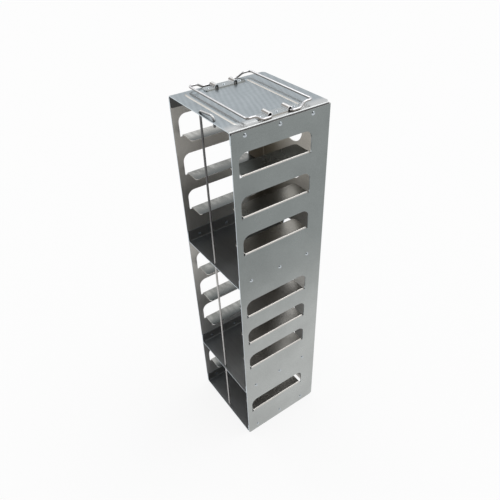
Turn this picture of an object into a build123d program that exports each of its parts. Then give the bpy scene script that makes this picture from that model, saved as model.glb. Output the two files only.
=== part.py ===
from build123d import *
import os

# Upright rack for sample boxes in a chest freezer, all of folded stainless sheet.
# +X is the right-hand side, -Y the open front, +Z up. The origin is the middle of the footprint, on the floor.
# All sizes are in millimetres.

# Sheet metal
sheet = 1.2
fold_radius = 2.0

# Outer case
rack_width = 143.0
rack_depth = 145.4
case_fold_radius = 0.8
side_top_drop = 2.3
front_top_corner = 3.0
front_base_corner = 4.5
rear_base_corner = 7.0

# Storage levels: even steps up from the base, where a level is the face that a box stands on
level_pitch = 57.25
top_bay_height = 54.55
base_rise = 2.8
lower_shelf_number = 2
upper_shelf_number = 6
highest_number = 9

# Punched tabs of the side walls, folded inwards at each level that has no shelf
slot_front_margin = 9.1
slot_length = 107.4
slot_height = 27.9
slot_corner = 11.0
tab_depth = 26.0
tab_corner = 4.0
tab_fold_radius = 1.2
relief_width = 3.2
relief_below_fold = 0.4

# Flanges of the shelves, the base and the top plate
shelf_flange = 17.5
top_flange = 16.0
flange_corner = 3.0
rear_gap = 0.4
base_rear_margin = 7.5
plate_rear_corner = 4.0

# Round finger holes of the back wall
finger_hole_radius = 19.7
finger_hole_rise = -1.2

# Two raised beads pressed into the top plate, each with its ends turned in to the hinge strips
bead_side_margin = 13.0
front_bead_gap = 17.6
rear_bead_gap = 2.7
bead_width = 10.0
bead_height = 1.2
bead_inner_corner = 0.4
bead_end_gap = 0.5

# Hinge strips on the top plate, each with two arched loops that are wider than the wire
strip_side_margin = 14.5
strip_width = 13.0
strip_length = 62.0
strip_corner = 3.0
hinge_middle_y = 1.0
loop_spacing = 28.8
loop_inner_radius = 2.3
loop_inner_height = 4.8
loop_foot_radius = 0.5
hinge_clearance = 0.08

# Wire handles
wire = 3.0
arm_side_margin = 4.7
grip_side_margin = 7.0
grip_rise = 5.1
arm_level_run = 13.0
arm_slope_run = 7.5
grip_level_run = 12.2
handle_end_setback = 0.6
handle_eye_bend = 2.6
handle_slope_bend = 10.0
handle_grip_bend = 4.5

# Locking rod across the open front
rod = 3.0
rod_x = 2.0
rod_front_inset = 3.5
rod_hook_run = 31.2
rod_hook_depth = 7.3
rod_near_bend = 2.6
rod_far_bend = 6.0
rod_near_rise = 1.9
rod_far_rise = 5.6
rod_clearance = 0.35
rod_end_gap = 0.3

# Rivets
rivet_shank = 3.0
rivet_clearance = 0.1
rivet_head = 5.5
rivet_head_height = 1.5
rivet_tail = 4.6
rivet_tail_height = 0.9
rivet_tail_bore = 2.2
rivet_tail_floor = 0.2
rivet_spacing = 49.1
rivet_middle = -4.6
rivet_above_level = 7.9
rivet_below_top = 7.8
strip_rivet_spacing = 24.5
strip_rivet_head = 5.0
strip_rivet_head_height = 1.2

# Worked out from the sizes above
past = 1.0
half_width = rack_width / 2
half_depth = rack_depth / 2
rack_height = sheet + highest_number * level_pitch + top_bay_height + sheet
inner_half_width = half_width - sheet
inner_back = half_depth - sheet
side_height = rack_height - side_top_drop
plate_underside = rack_height - sheet
fold_outside = fold_radius + sheet
case_fold_outside = case_fold_radius + sheet
tab_fold_outside = tab_fold_radius + sheet
slot_front = -half_depth + slot_front_margin
slot_back = slot_front + slot_length
tab_front = slot_front + relief_width
tab_back = slot_back - relief_width
tray_back = inner_back - case_fold_radius - rear_gap
strip_x = half_width - strip_side_margin
strip_front = hinge_middle_y - strip_length / 2
strip_back = hinge_middle_y + strip_length / 2
bead_x = half_width - bead_side_margin
loop_rows = [hinge_middle_y - loop_spacing / 2, hinge_middle_y + loop_spacing / 2]
loop_outer_radius = loop_inner_radius + sheet
loop_center_height = rack_height + loop_inner_height - loop_inner_radius
hinge_height = rack_height + wire / 2 + hinge_clearance
arm_x = half_width - arm_side_margin
grip_x = half_width - grip_side_margin
rod_y = -half_depth + rod_front_inset
rod_hole = rod / 2 + rod_clearance
rivet_hole = rivet_shank / 2 + rivet_clearance
rivet_rows = [rivet_middle - rivet_spacing, rivet_middle, rivet_middle + rivet_spacing]
strip_rivet_rows = [hinge_middle_y - strip_rivet_spacing, hinge_middle_y, hinge_middle_y + strip_rivet_spacing]


def level(number):
    """Height of the face that a box stands on. The base lies a little above the first even step."""
    return sheet + (number * level_pitch if number else base_rise)


shelf_numbers = [lower_shelf_number, upper_shelf_number]
tab_numbers = [n for n in range(1, highest_number + 1) if n not in shelf_numbers]

rivet_heights = {
    "top": rack_height - rivet_below_top,
    "upper_shelf": level(upper_shelf_number) + rivet_above_level,
    "lower_shelf": level(lower_shelf_number) + rivet_above_level,
    "base": level(0) + rivet_above_level,
}


def block(x0, x1, y0, y1, z0, z1):
    """Box between two corners."""
    middle = ((x0 + x1) / 2, (y0 + y1) / 2, (z0 + z1) / 2)
    return Pos(*middle) * Box(x1 - x0, y1 - y0, z1 - z0)


def bar_x(x0, x1, y, z, radius):
    """Round bar along X."""
    return Pos((x0 + x1) / 2, y, z) * Rot(0, 90, 0) * Cylinder(radius, x1 - x0)


def bar_z(x, y, z0, z1, radius):
    """Round bar along Z."""
    return Pos(x, y, (z0 + z1) / 2) * Cylinder(radius, z1 - z0)


def near(a, b):
    return abs(a - b) < 1e-3


def edges_along(solid, axis, test):
    """Straight edges along an axis whose middle passes a test."""
    return [edge for edge in solid.edges().filter_by(axis) if test(edge.center())]


# Case: both side walls and the back wall, folded from one sheet

def case_sheet():
    outside = block(-half_width, half_width, -half_depth, half_depth, 0, side_height)
    rear = edges_along(outside, Axis.Z, lambda c: near(c.Y, half_depth))
    outside = fillet(rear, case_fold_outside)
    front = -half_depth - past
    inside = block(-inner_half_width, inner_half_width, front, inner_back, -past, side_height + past)
    rear = edges_along(inside, Axis.Z, lambda c: near(c.Y, inner_back))
    return outside - fillet(rear, case_fold_radius)


def corner_cutter(y, z, radius):
    """Everything outside a rounded corner of the side walls, where y and z are the corner."""
    toward_y = 1 if y < 0 else -1
    toward_z = 1 if z < side_height / 2 else -1
    ys = sorted([y - toward_y * past, y + toward_y * radius])
    zs = sorted([z - toward_z * past, z + toward_z * radius])
    full = half_width + past
    corner = block(-full, full, *ys, *zs)
    return corner - bar_x(-full - past, full + past, y + toward_y * radius, z + toward_z * radius, radius)


def slot_cutter(bottom):
    """Slots of one level through both side walls, down to the foot of the relief notches."""
    low = bottom - tab_fold_outside - relief_below_fold
    high = bottom + slot_height
    cutter = block(-half_width - past, half_width + past, slot_front, slot_back, low, high)
    corners = edges_along(cutter, Axis.X, lambda c: near(c.Z, high))
    return fillet(corners, slot_corner)


def folded_tab(top):
    """Tab of the right-hand wall, with the fold that joins it to the sheet below."""
    fold_x = half_width - tab_fold_outside
    fold_z = top - tab_fold_outside
    free_x = inner_half_width - tab_depth
    flat = block(free_x, fold_x, tab_front, tab_back, top - sheet, top)
    corners = edges_along(flat, Axis.Z, lambda c: near(c.X, free_x))
    flat = fillet(corners, tab_corner)
    span = tab_back - tab_front
    ring = Cylinder(tab_fold_outside, span) - Cylinder(tab_fold_radius, span + past)
    fold = Pos(fold_x, (tab_front + tab_back) / 2, fold_z) * Rot(90, 0, 0) * ring
    fold &= block(fold_x, half_width, tab_front, tab_back, fold_z, top)
    foot = block(inner_half_width, half_width, tab_front, tab_back, fold_z - relief_below_fold, fold_z)
    return flat + fold + foot


def finger_hole(number):
    z = level(number) + finger_hole_rise
    return Pos(0, half_depth, z) * Rot(90, 0, 0) * Cylinder(finger_hole_radius, 4 * sheet)


def case():
    cutters = [
        corner_cutter(-half_depth, 0, front_base_corner),
        corner_cutter(-half_depth, side_height, front_top_corner),
        corner_cutter(half_depth, 0, rear_base_corner),
        block(-inner_half_width, inner_half_width, 0, half_depth + past, -past, rear_base_corner),
    ]
    cutters += [slot_cutter(level(number)) for number in tab_numbers]
    cutters += [finger_hole(number) for number in range(1, highest_number + 1)]
    for z in rivet_heights.values():
        cutters += [bar_x(-half_width - past, half_width + past, y, z, rivet_hole) for y in rivet_rows]
    right_tabs = [folded_tab(level(number)) for number in tab_numbers]
    left_tabs = [mirror(tab, about=Plane.YZ) for tab in right_tabs]
    return case_sheet() - cutters + right_tabs + left_tabs


# Flanged plates

def tray(back, top, flange):
    """Sheet between the side walls with a flange folded up at each side."""
    outside = inner_half_width
    inside = outside - sheet
    body = block(-outside, outside, -half_depth, back, top - sheet, top + flange)
    body -= block(-inside, inside, -half_depth - past, back + past, top, top + flange + past)
    outer = edges_along(body, Axis.Y, lambda c: near(c.Z, top - sheet) and near(abs(c.X), outside))
    body = fillet(outer, fold_outside)
    inner = edges_along(body, Axis.Y, lambda c: near(c.Z, top) and near(abs(c.X), inside))
    body = fillet(inner, fold_radius)
    ends = edges_along(body, Axis.X, lambda c: near(c.Z, top + flange))
    return fillet(ends, flange_corner)


def side_rivet_holes(row):
    """Holes for one row of rivets through both flanges."""
    return [bar_x(-half_width, half_width, y, rivet_heights[row], rivet_hole) for y in rivet_rows]


def rod_leg_hole(x):
    return bar_z(x, rod_y, -past, rack_height + past, rod_hole)


def shelf(number, back, row):
    return tray(back, level(number), shelf_flange) - side_rivet_holes(row) - [rod_leg_hole(rod_x)]


def bead(strip_end, direction, gap, foot, shortening):
    """Low rounded ridge on a flat foot, its ends turned in to the hinge strips. Direction -1 is the front one."""
    y = strip_end + direction * (gap + bead_width / 2)
    end_y = strip_end + direction * (bead_end_gap + shortening)
    x = bead_x
    corner = bead_width / 2 + bead_inner_corner
    route = FilletPolyline((-x, end_y, foot), (-x, y, foot), (x, y, foot), (x, end_y, foot), radius=corner)
    start = Plane(origin=route @ 0, x_dir=(-direction, 0, 0), z_dir=route % 0)
    left = (-bead_width / 2, 0)
    right = (bead_width / 2, 0)
    outline = ThreePointArc(left, (0, bead_height), right) + Line(right, left)
    return sweep(start * make_face(outline), path=route)


def top_plate():
    plate = mirror(tray(tray_back, -plate_underside, top_flange), about=Plane.XY)
    rear_half_width = inner_half_width - fold_outside
    rear = block(-rear_half_width, rear_half_width, 0, half_depth, plate_underside, rack_height)
    corners = edges_along(rear, Axis.Z, lambda c: near(c.Y, half_depth))
    plate += fillet(corners, plate_rear_corner)
    for end, direction, gap in [(strip_front, -1, front_bead_gap), (strip_back, 1, rear_bead_gap)]:
        plate += bead(end, direction, gap, rack_height, 0)
        plate -= bead(end, direction, gap, plate_underside, sheet)
    plate -= side_rivet_holes("top")
    plate -= [rod_leg_hole(rod_x), rod_leg_hole(rod_x + rod_hook_run)]
    for x in (-strip_x, strip_x):
        plate -= [bar_z(x, y, plate_underside - past, rack_height + past, rivet_hole) for y in strip_rivet_rows]
    return plate


# Hinge strips

def hinge_strip(middle):
    """Flat strip along the top plate with two arched loops over the hinge ends of the handles."""
    x0 = middle - strip_width / 2
    x1 = middle + strip_width / 2
    upper = rack_height + sheet
    strip = block(x0, x1, strip_front, strip_back, rack_height, upper)
    ends = edges_along(strip, Axis.Z, lambda c: near(c.Y, strip_front) or near(c.Y, strip_back))
    strip = fillet(ends, strip_corner)
    outer = loop_outer_radius
    inner = loop_inner_radius
    for y in loop_rows:
        strip += block(x0, x1, y - outer, y + outer, rack_height, loop_center_height)
        strip += bar_x(x0, x1, y, loop_center_height, outer)
    strip -= block(x0 - past, x1 + past, strip_front, strip_back, rack_height - outer, rack_height)

    def at_a_foot(c):
        return near(c.Z, upper) and any(near(abs(c.Y - y), outer) for y in loop_rows)

    strip = fillet(edges_along(strip, Axis.X, at_a_foot), loop_foot_radius)
    for y in loop_rows:
        strip -= block(x0 - past, x1 + past, y - inner, y + inner, rack_height - past, loop_center_height)
        strip -= bar_x(x0 - past, x1 + past, y, loop_center_height, inner)
    return strip - [bar_z(middle, y, rack_height - past, upper + past, rivet_hole) for y in strip_rivet_rows]


# Bent wire

def bent_wire(points, bends, diameter):
    """Round wire along straight runs joined by tangent arcs."""
    route = FilletPolyline(*points, radius=bends)
    section = Plane(origin=route @ 0, z_dir=route % 0) * Circle(diameter / 2)
    return sweep(section, path=route)


def handle(direction):
    """Handle folded flat, towards the front for -1 and towards the back for 1."""
    eye_y = hinge_middle_y + direction * loop_spacing / 2
    slope_start = eye_y + direction * arm_level_run
    slope_end = slope_start + direction * arm_slope_run
    grip_y = slope_end + direction * grip_level_run
    grip_height = hinge_height + grip_rise
    half = [
        (strip_x - strip_width / 2 + handle_end_setback, eye_y, hinge_height),
        (arm_x, eye_y, hinge_height),
        (arm_x, slope_start, hinge_height),
        (grip_x, slope_end, grip_height),
        (grip_x, grip_y, grip_height),
    ]
    other_half = [(-x, y, z) for x, y, z in reversed(half)]
    bends = [handle_eye_bend, handle_slope_bend, handle_slope_bend, handle_grip_bend]
    return bent_wire(half + other_half, bends + bends[::-1], wire)


def locking_rod():
    """Long rod with a hooked top, whose short leg stands in a second hole of the top plate."""
    hook_x = rod_x + rod_hook_run
    points = [
        (rod_x, rod_y, rod_end_gap),
        (rod_x, rod_y, rack_height + rod_near_rise),
        (hook_x, rod_y, rack_height + rod_far_rise),
        (hook_x, rod_y, rack_height - rod_hook_depth),
    ]
    return bent_wire(points, [rod_near_bend, rod_far_bend], rod)


# Rivets

def rivet(head, head_height, grip):
    """Rivet along Z: domed head above the origin, shank through the grip, hollow tail below."""
    dome_radius = ((head / 2) ** 2 + head_height ** 2) / (2 * head_height)
    dome = Pos(0, 0, head_height - dome_radius) * Sphere(dome_radius)
    dome &= block(-head, head, -head, head, 0, head_height)
    tail_end = -grip - rivet_tail_height
    shank = bar_z(0, 0, -grip, 0, rivet_shank / 2)
    tail = bar_z(0, 0, tail_end, -grip, rivet_tail / 2)
    tail -= bar_z(0, 0, tail_end - past, -grip - rivet_tail_floor, rivet_tail_bore / 2)
    return dome + shank + tail


def side_rivets(side, z):
    piece = Rot(0, side * 90, 0) * rivet(rivet_head, rivet_head_height, 2 * sheet)
    return Compound([Pos(side * half_width, y, z) * piece for y in rivet_rows])


def strip_rivets(middle):
    piece = rivet(strip_rivet_head, strip_rivet_head_height, 2 * sheet)
    return Compound([Pos(middle, y, rack_height + sheet) * piece for y in strip_rivet_rows])


def main():
    parts = {
        "folded_case": case(),
        "base_plate": shelf(0, half_depth - base_rear_margin, "base"),
        "lower_shelf": shelf(lower_shelf_number, tray_back, "lower_shelf"),
        "upper_shelf": shelf(upper_shelf_number, tray_back, "upper_shelf"),
        "top_plate": top_plate(),
        "front_handle": handle(-1),
        "rear_handle": handle(1),
        "locking_rod": locking_rod(),
    }
    for side, name in [(-1, "left"), (1, "right")]:
        parts[name + "_hinge_strip"] = hinge_strip(side * strip_x)
        parts[name + "_hinge_strip_rivets"] = strip_rivets(side * strip_x)
        for row, z in rivet_heights.items():
            parts[name + "_" + row + "_rivets"] = side_rivets(side, z)
    os.makedirs("parts", exist_ok=True)
    for name, shape in parts.items():
        export_step(shape, "parts/" + name + ".step")


main()
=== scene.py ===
import math

import bpy
from mathutils import Matrix, Vector

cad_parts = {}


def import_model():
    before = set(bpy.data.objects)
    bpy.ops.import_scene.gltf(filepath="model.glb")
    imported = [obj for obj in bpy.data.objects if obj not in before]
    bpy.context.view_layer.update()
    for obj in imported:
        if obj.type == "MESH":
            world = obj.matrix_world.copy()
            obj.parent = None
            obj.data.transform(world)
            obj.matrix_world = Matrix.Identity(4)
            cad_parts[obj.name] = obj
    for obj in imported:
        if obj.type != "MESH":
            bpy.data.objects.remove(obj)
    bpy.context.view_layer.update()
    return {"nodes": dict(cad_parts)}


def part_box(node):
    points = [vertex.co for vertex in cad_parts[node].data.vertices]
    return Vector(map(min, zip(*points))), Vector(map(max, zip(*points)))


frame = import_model()
nodes = frame["nodes"]

# Sizes in metres. The first ones come from the frame, and the sheet and the loops are those of the CAD
# source. A hair is room for rounding.

case_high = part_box("folded_case")[1]
strip_low, strip_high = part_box("left_hinge_strip")
half_width = case_high.x
half_depth = case_high.y
plate_top = strip_low.z
sheet = 0.0012
inner_x = half_width - sheet
inner_y = half_depth - sheet
loop_spacing = 0.0288
loop_inner_radius = 0.0023
loop_centre_height = 0.0025
hinge_middle = (strip_low.y + strip_high.y) / 2
loop_rows = (hinge_middle - loop_spacing / 2, hinge_middle + loop_spacing / 2)
hair = 0.0001

# Parts of a surface's normal: above the first it mostly faces a direction, below the second it hardly does

mostly = 0.7
hardly = 0.1


# Node helpers

def node(tree, kind, **values):
    made = tree.nodes.new(kind)
    for key, value in values.items():
        setattr(made, key, value)
    return made


def set_socket(item, name, value):
    item.inputs[name].default_value = value


def feed(tree, socket, value):
    """Links a socket to another one, or sets its value."""
    if isinstance(value, bpy.types.NodeSocket):
        tree.links.new(value, socket)
    else:
        socket.default_value = value


def mixed(tree, factor, a, b):
    """Colour that goes from a to b as the factor goes from 0 to 1."""
    factor_place, a_place, b_place, result_place = 0, 6, 7, 2
    made = node(tree, "ShaderNodeMix", data_type="RGBA")
    for place, value in ((factor_place, factor), (a_place, a), (b_place, b)):
        feed(tree, made.inputs[place], value)
    return made.outputs[result_place]


class Paint:
    """A material with its shader, and the place and the facing of the surface in the rack's frame."""

    def __init__(self, name):
        self.material = bpy.data.materials.new(name)
        self.material.use_nodes = True
        self.tree = self.material.node_tree
        self.tree.nodes.clear()
        output = node(self.tree, "ShaderNodeOutputMaterial")
        self.shader = node(self.tree, "ShaderNodeBsdfPrincipled")
        self.tree.links.new(self.shader.outputs[0], output.inputs[0])
        coordinates = node(self.tree, "ShaderNodeTexCoord")
        self.place = coordinates.outputs["Object"]
        self.x, self.y, self.z = self.parts(self.place)
        self.facing_x, self.facing_y, self.facing_z = self.parts(coordinates.outputs["Normal"])
        self.off_centre = self.size(self.x)

    def parts(self, vector):
        made = node(self.tree, "ShaderNodeSeparateXYZ")
        self.tree.links.new(vector, made.inputs[0])
        return made.outputs

    def maths(self, operation, a, b=None):
        made = node(self.tree, "ShaderNodeMath", operation=operation)
        feed(self.tree, made.inputs[0], a)
        if b is not None:
            feed(self.tree, made.inputs[1], b)
        return made.outputs[0]

    def plus(self, a, b):
        return self.maths("ADD", a, b)

    def minus(self, a, b):
        return self.maths("SUBTRACT", a, b)

    def times(self, a, b):
        return self.maths("MULTIPLY", a, b)

    def size(self, a):
        return self.maths("ABSOLUTE", a)

    def above(self, a, limit):
        return self.maths("GREATER_THAN", a, limit)

    def below(self, a, limit):
        return self.maths("LESS_THAN", a, limit)

    def between(self, a, low, high):
        return self.times(self.above(a, low), self.below(a, high))

    def ramp(self, factor, low, high, a=0.0, b=1.0):
        """Goes smoothly from a to b while the factor goes from low to high."""
        made = node(self.tree, "ShaderNodeMapRange", interpolation_type="SMOOTHSTEP")
        values = {"Value": factor, "From Min": low, "From Max": high, "To Min": a, "To Max": b}
        for name, value in values.items():
            feed(self.tree, made.inputs[name], value)
        return made.outputs[0]

    def mix(self, factor, a, b):
        return mixed(self.tree, factor, a, b)

    def scale(self, colour, factor):
        made = node(self.tree, "ShaderNodeVectorMath", operation="SCALE")
        feed(self.tree, made.inputs[0], colour)
        feed(self.tree, made.inputs["Scale"], factor)
        return made.outputs[0]

    def noise(self, scales, detail=2.0, roughness=0.5):
        """Noise stretched by a scale along each axis, per metre."""
        stretched = node(self.tree, "ShaderNodeMapping")
        self.tree.links.new(self.place, stretched.inputs["Vector"])
        set_socket(stretched, "Scale", scales)
        made = node(self.tree, "ShaderNodeTexNoise")
        self.tree.links.new(stretched.outputs[0], made.inputs["Vector"])
        set_socket(made, "Scale", 1.0)
        set_socket(made, "Detail", detail)
        set_socket(made, "Roughness", roughness)
        return made.outputs["Fac"]

    def bump(self, height, strength, distance):
        made = node(self.tree, "ShaderNodeBump")
        set_socket(made, "Strength", strength)
        set_socket(made, "Distance", distance)
        self.tree.links.new(height, made.inputs["Height"])
        self.tree.links.new(made.outputs[0], self.shader.inputs["Normal"])

    def finish(self, colour, roughness):
        feed(self.tree, self.shader.inputs["Base Color"], colour)
        feed(self.tree, self.shader.inputs["Roughness"], roughness)
        set_socket(self.shader, "Metallic", 1.0)
        return self.material


def rgb(red, green, blue):
    return (red, green, blue, 1.0)


def grained(paint, colour, grain_scales, depth):
    """Colour with the fine grain of rolled sheet and a slow cloudy wear, and then the grain and the cloud."""
    cloud_scales = (16.0, 16.0, 16.0)
    grain_range = (0.3, 0.7)
    cloud_range = (0.3, 0.75)
    cloud_strength = (1.04, 0.95)
    grain = paint.noise(grain_scales, detail=3.0, roughness=0.6)
    cloud = paint.noise(cloud_scales, detail=3.0, roughness=0.55)
    strength = paint.times(
        paint.ramp(grain, *grain_range, 1.0 - depth, 1.0 + depth),
        paint.ramp(cloud, *cloud_range, *cloud_strength),
    )
    return paint.scale(colour, strength), grain, cloud


def clouded(paint, cloud, smooth, dull):
    """Roughness that wanders between two values with the cloudy wear."""
    cloud_range = (0.3, 0.8)
    return paint.ramp(cloud, *cloud_range, smooth, dull)


# Steel of the sheets

# Pale cut edges: partly the bare edge of the sheet, partly a painted highlight
cut_edge_and_highlight_tone = rgb(0.60, 0.66, 0.70)
grain_relief = 0.0002


def case_outside(paint):
    """Satin, with a painted reflection of the floor that makes it paler towards the floor, and a little paler
    towards the back.
    """
    fade_heights = (0.18, 0.42)
    low_tone = rgb(0.41, 0.425, 0.415)
    high_tone = rgb(0.232, 0.252, 0.248)
    fade_depths = (-half_depth, 0.5 * half_depth)
    depth_strength = (0.96, 1.03)
    # Painted reflection of the floor: paler low down, darker high up
    tone = paint.mix(paint.ramp(paint.z, *fade_heights), low_tone, high_tone)
    return paint.scale(tone, paint.ramp(paint.y, *fade_depths, *depth_strength))


def case_inside(paint):
    """Warm, with painted shade that makes it darker towards the top, and brown painted shade on the back wall
    and on the left wall beside it.
    """
    fade_heights = (0.10, 0.50)
    low_tone = rgb(0.80, 0.79, 0.77)
    high_tone = rgb(0.54, 0.525, 0.495)
    back_fade_places = (-0.045, 0.02)
    back_left_shade_tone = rgb(0.32, 0.295, 0.25)
    back_right_shade_tone = rgb(0.52, 0.495, 0.45)
    back_fade_heights = (0.25, 0.40)
    back_share = (0.4, 1.0)
    corner_depths = (0.035, 0.045)
    corner_shade_tone = rgb(0.26, 0.235, 0.20)

    # Painted shade: darker towards the top
    tone = paint.mix(paint.ramp(paint.z, *fade_heights), low_tone, high_tone)
    # Brown painted shade on the back wall
    back_wall = paint.above(paint.y, inner_y - hair)
    back_shade_tone = paint.mix(paint.ramp(paint.x, *back_fade_places), back_left_shade_tone, back_right_shade_tone)
    back = paint.times(back_wall, paint.ramp(paint.z, *back_fade_heights, *back_share))
    tone = paint.mix(back, tone, back_shade_tone)
    # Painted shade on the left wall beside the back wall
    corner = paint.times(paint.below(paint.x, 0.0), paint.ramp(paint.y, *corner_depths))
    corner = paint.times(corner, paint.minus(1.0, back_wall))
    return paint.mix(corner, tone, corner_shade_tone)


def left_tabs(paint):
    """Painted reflection: dark at the free edge and paler towards the fold, with blotches of painted
    highlight near the fold.
    """
    top_tab_heights = (0.47, 0.51)
    low_fold_tone = rgb(0.245, 0.25, 0.24)
    top_fold_tone = rgb(0.46, 0.46, 0.44)
    free_edge_tone = rgb(0.138, 0.15, 0.15)
    fold_places = (0.044, 0.064)
    blotch_scales = (60.0, 140.0, 60.0)
    blotch_range = (0.35, 0.7)
    blotch_places = (0.050, 0.066)
    blotch_heights = (0.44, 0.50)
    blotch_share = (0.3, 1.0)
    highlight_blotch_tone = rgb(0.70, 0.70, 0.675)

    # Painted reflection: paler towards the fold, most at the top tab
    fold_highlight_tone = paint.mix(paint.ramp(paint.z, *top_tab_heights), low_fold_tone, top_fold_tone)
    tone = paint.mix(paint.ramp(paint.off_centre, *fold_places), free_edge_tone, fold_highlight_tone)
    # Blotches of painted highlight near the fold
    highlight_blotches = paint.ramp(paint.noise(blotch_scales), *blotch_range)
    highlight_blotches = paint.times(highlight_blotches, paint.ramp(paint.off_centre, *blotch_places))
    highlight_blotches = paint.times(highlight_blotches, paint.ramp(paint.z, *blotch_heights, *blotch_share))
    return paint.mix(highlight_blotches, tone, highlight_blotch_tone)


def right_tabs(paint):
    """Painted light: paler at the lower levels and towards the front, and brighter at the lowest and the top
    tab.
    """
    fade_heights = (0.30, 0.45)
    low_tone = rgb(0.43, 0.42, 0.395)
    high_tone = rgb(0.29, 0.28, 0.255)
    depths = (0.0, 0.035)
    depth_strength = (1.45, 1.05)
    lowest_tab_heights = (0.08, 0.15)
    lowest_tab_strength = (1.5, 1.0)
    top_tab_heights = (0.48, 0.51)
    top_tab_strength = (1.0, 1.25)

    # Painted light by level and towards the front
    tone = paint.mix(paint.ramp(paint.z, *fade_heights), low_tone, high_tone)
    tone = paint.scale(tone, paint.ramp(paint.y, *depths, *depth_strength))
    tone = paint.scale(tone, paint.ramp(paint.z, *lowest_tab_heights, *lowest_tab_strength))
    return paint.scale(tone, paint.ramp(paint.z, *top_tab_heights, *top_tab_strength))


def case_steel():
    """Case sheet, with separate tones outside, inside and on the tabs that carry painted reflection and
    painted shade, a painted highlight along the folds, and pale cut edges that are partly painted highlight.
    """
    paint = Paint("case_steel")
    fold_highlight_tone = rgb(0.62, 0.60, 0.57)
    fold_slopes = (0.2, 0.98)
    top_edge_and_highlight_tone = rgb(0.60, 0.60, 0.58)
    grain_scales = (900.0, 900.0, 1300.0)
    duller_inside = 0.12
    smoother_tabs = 0.16

    within_walls = paint.below(paint.off_centre, inner_x + hair)
    inside = paint.times(within_walls, paint.below(paint.y, inner_y + hair))
    facing_up = paint.above(paint.facing_z, mostly)
    tab_top = paint.times(facing_up, within_walls)
    tab_tone = paint.mix(paint.above(paint.x, 0.0), left_tabs(paint), right_tabs(paint))
    inside_tone = paint.mix(tab_top, case_inside(paint), tab_tone)
    tone = paint.mix(inside, case_outside(paint), inside_tone)

    # Painted highlight along the folds
    along_depth = paint.below(paint.size(paint.facing_y), hardly)
    fold = paint.times(paint.between(paint.facing_z, *fold_slopes), along_depth)
    tone = paint.mix(fold, tone, fold_highlight_tone)

    # Pale cut edges on the sides, the back and the wall tops, partly painted highlight
    along_width = paint.below(paint.size(paint.facing_x), hardly)
    side_edge = paint.times(paint.above(paint.off_centre, inner_x - hair), along_width)
    side_edge = paint.times(side_edge, paint.minus(1.0, tab_top))
    back_edge = paint.times(paint.above(paint.y, inner_y - hair), along_depth)
    back_edge = paint.times(back_edge, paint.below(paint.off_centre, inner_x - hair))
    edge_tone = paint.mix(facing_up, cut_edge_and_highlight_tone, top_edge_and_highlight_tone)
    tone = paint.mix(paint.maths("MAXIMUM", side_edge, back_edge), tone, edge_tone)

    colour, grain, cloud = grained(paint, tone, grain_scales, depth=0.08)
    paint.bump(grain, strength=0.08, distance=grain_relief)
    duller = paint.times(inside, paint.minus(duller_inside, paint.times(tab_top, smoother_tabs)))
    return paint.finish(colour, paint.plus(clouded(paint, cloud, smooth=0.27, dull=0.36), duller))


def shelf_steel():
    """Shelves and base: the same sheet, with a bluer painted reflection on the left part, painted shade on
    the flanges and undersides, and a pale front edge that is partly painted highlight.
    """
    paint = Paint("shelf_steel")
    fade_places = (-half_width, -0.3 * half_width)
    left_tone = rgb(0.37, 0.40, 0.43)
    right_tone = rgb(0.37, 0.38, 0.39)
    flange_shade_tone = rgb(0.27, 0.265, 0.26)
    grain_scales = (30.0, 1200.0, 30.0)

    # Painted reflection: bluer on the left part
    flat_tone = paint.mix(paint.ramp(paint.x, *fade_places), left_tone, right_tone)
    # Painted shade on the flanges and undersides
    tone = paint.mix(paint.above(paint.facing_z, mostly), flange_shade_tone, flat_tone)
    # Pale front edge, partly painted highlight
    tone = paint.mix(paint.below(paint.facing_y, -mostly), tone, cut_edge_and_highlight_tone)
    colour, grain, cloud = grained(paint, tone, grain_scales, depth=0.06)
    paint.bump(grain, strength=0.08, distance=grain_relief)
    return paint.finish(colour, clouded(paint, cloud, smooth=0.38, dull=0.44))


def soft_bands(paint):
    """Even bands over the flat of the top plate, from 0 to 1, that sway a little and fade in places."""
    pitch = 0.0065
    turn = math.radians(-20.0)
    sway_scales = (25.0, 25.0, 25.0)
    sway_phase = 9.0
    fade_range = (0.3, 0.7)
    fade_share = (1.0, 0.4)
    flat = 0.998

    across = paint.plus(paint.times(paint.x, -math.sin(turn)), paint.times(paint.y, math.cos(turn)))
    sway = paint.noise(sway_scales)
    phase = paint.plus(paint.times(across, 2.0 * math.pi / pitch), paint.times(sway, sway_phase))
    bands = paint.ramp(paint.maths("SINE", phase), -1.0, 1.0)
    bands = paint.times(bands, paint.ramp(sway, *fade_range, *fade_share))
    return paint.times(bands, paint.above(paint.facing_z, flat))


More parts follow.
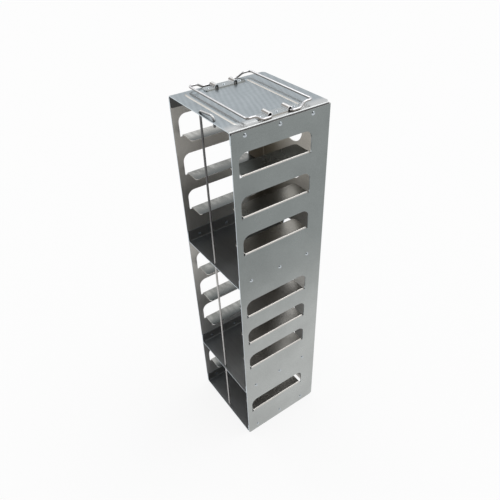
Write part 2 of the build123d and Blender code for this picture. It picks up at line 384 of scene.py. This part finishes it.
def top_steel():
    """Top plate: cool satin sheet with soft bands, a painted highlight on the beads' front slopes and painted
    shade on their back slopes, a painted highlight along the right margin, a painted highlight and painted
    shade on the side bends, and a pale front rim that is partly painted highlight.
    """
    paint = Paint("top_steel")
    plate_tone = rgb(0.40, 0.45, 0.48)
    band_tone = rgb(0.465, 0.515, 0.55)
    front_slopes = (-0.15, -0.38)
    front_slope_highlight_tone = rgb(0.60, 0.575, 0.54)
    back_slopes = (0.06, 0.25)
    back_slope_shade_tone = rgb(0.28, 0.285, 0.29)
    right_margin = (0.050, 0.064)
    right_margin_highlight_tone = rgb(0.64, 0.655, 0.66)
    bend_reach = 0.0034
    bend_slope = 0.99
    bend_fade_slopes = (0.5, 0.75)
    steep_bend_shade_tone = rgb(0.10, 0.10, 0.10)
    flat_bend_highlight_tone = rgb(0.50, 0.51, 0.51)
    grain_scales = (500.0, 40.0, 40.0)

    tone = paint.mix(soft_bands(paint), plate_tone, band_tone)
    # Painted highlight on the beads' front slopes and painted shade on their back slopes
    tone = paint.mix(paint.ramp(paint.facing_y, *front_slopes), tone, front_slope_highlight_tone)
    tone = paint.mix(paint.ramp(paint.facing_y, *back_slopes), tone, back_slope_shade_tone)
    # Painted highlight along the right margin
    tone = paint.mix(paint.ramp(paint.x, *right_margin), tone, right_margin_highlight_tone)
    # Painted highlight and painted shade on the side bends
    near_side = paint.above(paint.off_centre, inner_x - bend_reach)
    bend = paint.times(near_side, paint.below(paint.facing_z, bend_slope))
    bend_tone = paint.mix(paint.ramp(paint.facing_z, *bend_fade_slopes), steep_bend_shade_tone, flat_bend_highlight_tone)
    tone = paint.mix(bend, tone, bend_tone)
    # Pale front rim, partly painted highlight
    tone = paint.mix(paint.below(paint.facing_y, -mostly), tone, cut_edge_and_highlight_tone)
    colour, _, cloud = grained(paint, tone, grain_scales, depth=0.05)
    return paint.finish(colour, clouded(paint, cloud, smooth=0.33, dull=0.39))


def strip_steel():
    """Hinge strips: brighter than the plate, with pale side edges that are partly painted highlight, and
    loops with a painted highlight, a band of painted shade and a hollow darkened with painted shade.
    """
    paint = Paint("strip_steel")
    flat_tone = rgb(0.50, 0.54, 0.56)
    side_edge_and_highlight_tone = rgb(0.62, 0.59, 0.54)
    loop_highlight_tone = rgb(0.86, 0.86, 0.86)
    band_start = (-0.96, -0.86)
    band_end = (-0.35, -0.55)
    band_tone = rgb(0.34, 0.325, 0.31)
    hollow_shade_tone = rgb(0.04, 0.04, 0.04)
    hollow_reach = loop_inner_radius + hair
    grain_scales = (30.0, 900.0, 30.0)

    # Pale side edges, partly painted highlight
    tone = paint.mix(paint.above(paint.size(paint.facing_x), mostly), flat_tone, side_edge_and_highlight_tone)
    # Painted highlight on the loops, with a band of painted shade
    band = paint.times(paint.ramp(paint.facing_y, *band_start), paint.ramp(paint.facing_y, *band_end))
    arched = paint.above(paint.z, plate_top + sheet + hair)
    tone = paint.mix(arched, tone, paint.mix(band, loop_highlight_tone, band_tone))
    # Painted shade in the hollows of the loops
    for y in loop_rows:
        beside = paint.minus(paint.y, y)
        over = paint.minus(paint.z, plate_top + loop_centre_height)
        squared_reach = paint.plus(paint.times(beside, beside), paint.times(over, over))
        arch = paint.below(squared_reach, hollow_reach ** 2)
        legs = paint.times(paint.below(paint.size(beside), hollow_reach), paint.below(over, 0.0))
        tone = paint.mix(paint.maths("MAXIMUM", arch, legs), tone, hollow_shade_tone)
    colour, grain, cloud = grained(paint, tone, grain_scales, depth=0.08)
    paint.bump(grain, strength=0.05, distance=grain_relief)
    return paint.finish(colour, clouded(paint, cloud, smooth=0.2, dull=0.26))


# Steel of the wires and rivets

def wire_steel(name, under_tone, over_tone, smooth, dull):
    """Polished wire with faint marks, with painted shade in the tone below and a painted highlight in the
    tone on top.
    """
    paint = Paint(name)
    fade_slopes = (0.1, 0.7)
    mark_scales = (260.0, 260.0, 260.0)
    mark_range = (0.35, 0.7)
    mark_strength = (0.92, 1.04)
    dull_range = (0.3, 0.7)

    marks = paint.noise(mark_scales, detail=3.0, roughness=0.6)
    # Painted shade below and painted highlight on top
    tone = paint.mix(paint.ramp(paint.facing_z, *fade_slopes), under_tone, over_tone)
    colour = paint.scale(tone, paint.ramp(marks, *mark_range, *mark_strength))
    return paint.finish(colour, paint.ramp(marks, *dull_range, smooth, dull))


def rod_steel():
    """Locking rod: wire darkened high up by a painted dark reflection and paler towards its foot, with a
    painted highlight on top of its hook and painted shade under it.
    """
    paint = Paint("rod_steel")
    fade_heights = (0.33, 0.43)
    low_tone = rgb(0.45, 0.44, 0.43)
    high_tone = rgb(0.12, 0.12, 0.12)
    hook_slopes = (0.1, 0.6)
    hook_shade_tone = rgb(0.12, 0.12, 0.12)
    hook_highlight_tone = rgb(0.8, 0.8, 0.8)
    mark_scales = (300.0, 300.0, 60.0)
    mark_range = (0.35, 0.7)
    mark_strength = (0.85, 1.1)
    dull_range = (0.3, 0.7)
    roughness_range = (0.2, 0.3)

    marks = paint.noise(mark_scales, detail=3.0, roughness=0.6)
    # Painted reflection: dark high up, paler towards the foot
    tone = paint.mix(paint.ramp(paint.z, *fade_heights), low_tone, high_tone)
    # Painted highlight on top of the hook and painted shade under it
    hook_tone = paint.mix(paint.ramp(paint.facing_z, *hook_slopes), hook_shade_tone, hook_highlight_tone)
    tone = paint.mix(paint.above(paint.z, plate_top), tone, hook_tone)
    colour = paint.scale(tone, paint.ramp(marks, *mark_range, *mark_strength))
    return paint.finish(colour, paint.ramp(marks, *dull_range, *roughness_range))


def put(material, *names):
    for name in names:
        for slot in nodes[name].material_slots:
            slot.material = material


# Handle wire: painted shade below, painted highlight on top
handle_shade_tone = rgb(0.33, 0.305, 0.28)
handle_highlight_tone = rgb(0.84, 0.84, 0.86)
rivet_tone = rgb(0.50, 0.54, 0.57)
rivet_nodes = [name for name in nodes if name.endswith("_rivets")]

put(case_steel(), "folded_case")
put(shelf_steel(), "base_plate", "lower_shelf", "upper_shelf")
put(top_steel(), "top_plate")
put(strip_steel(), "left_hinge_strip", "right_hinge_strip")
handle_steel = wire_steel("handle_steel", handle_shade_tone, handle_highlight_tone, smooth=0.12, dull=0.18)
put(handle_steel, "front_handle", "rear_handle")
put(rod_steel(), "locking_rod")
put(wire_steel("rivet_metal", rivet_tone, rivet_tone, smooth=0.16, dull=0.24), *rivet_nodes)


# Floor, world, lamps and camera

def seen_directly(tree):
    """1 for what is seen by the camera, in a reflection or through glass, and 0 for the light that falls."""
    path = node(tree, "ShaderNodeLightPath")
    seen = path.outputs["Is Camera Ray"]
    for name in ("Is Glossy Ray", "Is Transmission Ray"):
        either = node(tree, "ShaderNodeMath", operation="MAXIMUM")
        tree.links.new(seen, either.inputs[0])
        tree.links.new(path.outputs[name], either.inputs[1])
        seen = either.outputs[0]
    return seen


def floor():
    """Pale floor. Most of what is seen of it is plain white, and the rest takes the rack's shadow."""
    size = 6.0
    drop = 0.0002
    white_share = 0.85
    floor_tone = rgb(0.9, 0.9, 0.9)
    mesh = bpy.data.meshes.new("floor")
    corners = [(-size, -size, 0), (size, -size, 0), (size, size, 0), (-size, size, 0)]
    mesh.from_pydata(corners, [], [(0, 1, 2, 3)])
    plane = bpy.data.objects.new("floor", mesh)
    plane.location.z = -drop
    bpy.context.scene.collection.objects.link(plane)
    material = bpy.data.materials.new("floor_paint")
    material.use_nodes = True
    tree = material.node_tree
    tree.nodes.clear()
    output = node(tree, "ShaderNodeOutputMaterial")
    paint = node(tree, "ShaderNodeBsdfDiffuse")
    set_socket(paint, "Color", floor_tone)
    white = node(tree, "ShaderNodeEmission")
    share = node(tree, "ShaderNodeMath", operation="MULTIPLY")
    tree.links.new(seen_directly(tree), share.inputs[0])
    share.inputs[1].default_value = white_share
    mix = node(tree, "ShaderNodeMixShader")
    tree.links.new(share.outputs[0], mix.inputs[0])
    tree.links.new(paint.outputs[0], mix.inputs[1])
    tree.links.new(white.outputs[0], mix.inputs[2])
    tree.links.new(mix.outputs[0], output.inputs[0])
    plane.data.materials.append(material)


def tent_brightness(tree, stops, dark_side, spread, darkest):
    """Brightness of the tent that the steel mirrors.

    Each stop is a height of the direction looked at, and the brightness there. Around the dark side it falls
    to the darkest share, between the two angles of the spread, in degrees.
    """
    looked_at = node(tree, "ShaderNodeTexCoord").outputs["Generated"]
    direction = node(tree, "ShaderNodeSeparateXYZ")
    tree.links.new(looked_at, direction.inputs[0])
    curve = node(tree, "ShaderNodeValToRGB")
    tree.links.new(direction.outputs[2], curve.inputs[0])
    marks = curve.color_ramp.elements
    while len(marks) < len(stops):
        marks.new(1.0)
    for mark, (height, brightness) in zip(marks, stops):
        mark.position = height
        mark.color = rgb(brightness, brightness, brightness)
    nearness = node(tree, "ShaderNodeVectorMath", operation="DOT_PRODUCT")
    tree.links.new(looked_at, nearness.inputs[0])
    nearness.inputs[1].default_value = Vector(dark_side).normalized()
    fade = node(tree, "ShaderNodeMapRange", interpolation_type="SMOOTHSTEP")
    tree.links.new(nearness.outputs["Value"], fade.inputs["Value"])
    wide, narrow = (math.cos(math.radians(angle)) for angle in spread)
    for name, value in (("From Min", wide), ("From Max", narrow), ("To Min", 1.0), ("To Max", darkest)):
        set_socket(fade, name, value)
    shaded = node(tree, "ShaderNodeVectorMath", operation="SCALE")
    tree.links.new(curve.outputs[0], shaded.inputs[0])
    tree.links.new(fade.outputs[0], shaded.inputs["Scale"])
    return shaded.outputs[0]


def world():
    """Plain white background and even light. Steel mirrors a tent that is dimmer low down and overhead."""
    light_tone = rgb(1.0, 1.0, 1.0)
    light_strength = 0.8
    background = rgb(0.97, 0.97, 0.97)
    tent_stops = [(0.0, 0.6), (0.3, 0.7), (0.55, 1.0), (0.75, 1.0), (0.95, 0.6)]
    made = bpy.data.worlds.new("studio")
    made.use_nodes = True
    bpy.context.scene.world = made
    tree = made.node_tree
    tree.nodes.clear()
    output = node(tree, "ShaderNodeOutputWorld")
    light = node(tree, "ShaderNodeBackground")
    set_socket(light, "Color", light_tone)
    set_socket(light, "Strength", light_strength)
    tent = tent_brightness(tree, tent_stops, dark_side=(0.7, -0.5, 0.55), spread=(45.0, 20.0), darkest=0.15)
    by_camera = node(tree, "ShaderNodeLightPath").outputs["Is Camera Ray"]
    shown = node(tree, "ShaderNodeBackground")
    tree.links.new(mixed(tree, by_camera, tent, background), shown.inputs["Color"])
    mix = node(tree, "ShaderNodeMixShader")
    tree.links.new(seen_directly(tree), mix.inputs[0])
    tree.links.new(light.outputs[0], mix.inputs[1])
    tree.links.new(shown.outputs[0], mix.inputs[2])
    tree.links.new(mix.outputs[0], output.inputs[0])


def sun(direction, strength, width):
    """Large soft light far away, towards a direction and as wide as an angle in degrees."""
    data = bpy.data.lights.new("sun", "SUN")
    data.energy = strength
    data.angle = math.radians(width)
    made = bpy.data.objects.new("sun", data)
    made.rotation_euler = (-Vector(direction)).to_track_quat("-Z", "Y").to_euler()
    bpy.context.scene.collection.objects.link(made)


def camera():
    """Camera of the photograph: its angles, distance and off-centre frame were fitted to the rack's edges."""
    frame_width = 500.0
    focal_length = 496.49
    principal = (264.77, 261.31)
    sensor = 36.0
    nearest = 0.01
    azimuth = math.radians(54.652)
    elevation = math.radians(39.007)
    roll = math.radians(-1.231)
    rack_middle = Vector((0.0, 0.0, 0.29))
    offset = Vector((-0.01581, -0.01881, -0.78692))
    back = Vector((
        math.sin(azimuth) * math.cos(elevation),
        -math.cos(azimuth) * math.cos(elevation),
        math.sin(elevation),
    ))
    right = Vector((0, 0, 1)).cross(back).normalized()
    up = back.cross(right)
    turned_right = math.cos(roll) * right + math.sin(roll) * up
    turned_up = math.cos(roll) * up - math.sin(roll) * right
    place = rack_middle - offset.x * turned_right - offset.y * turned_up - offset.z * back
    data = bpy.data.cameras.new("camera")
    data.sensor_width = sensor
    data.lens = focal_length * sensor / frame_width
    data.shift_x = (frame_width / 2 - principal[0]) / frame_width
    data.shift_y = (principal[1] - frame_width / 2) / frame_width
    data.clip_start = nearest
    made = bpy.data.objects.new("camera", data)
    turn = Matrix((turned_right, turned_up, back)).transposed()
    made.matrix_world = Matrix.Translation(place) @ turn.to_4x4()
    bpy.context.scene.collection.objects.link(made)
    bpy.context.scene.camera = made


floor()
world()
sun(direction=(0.1, 0.48, 0.87), strength=0.5, width=36.0)
sun(direction=(-0.64, -0.05, 0.76), strength=0.14, width=20.0)
camera()

bpy.context.scene.view_settings.view_transform = "Standard"
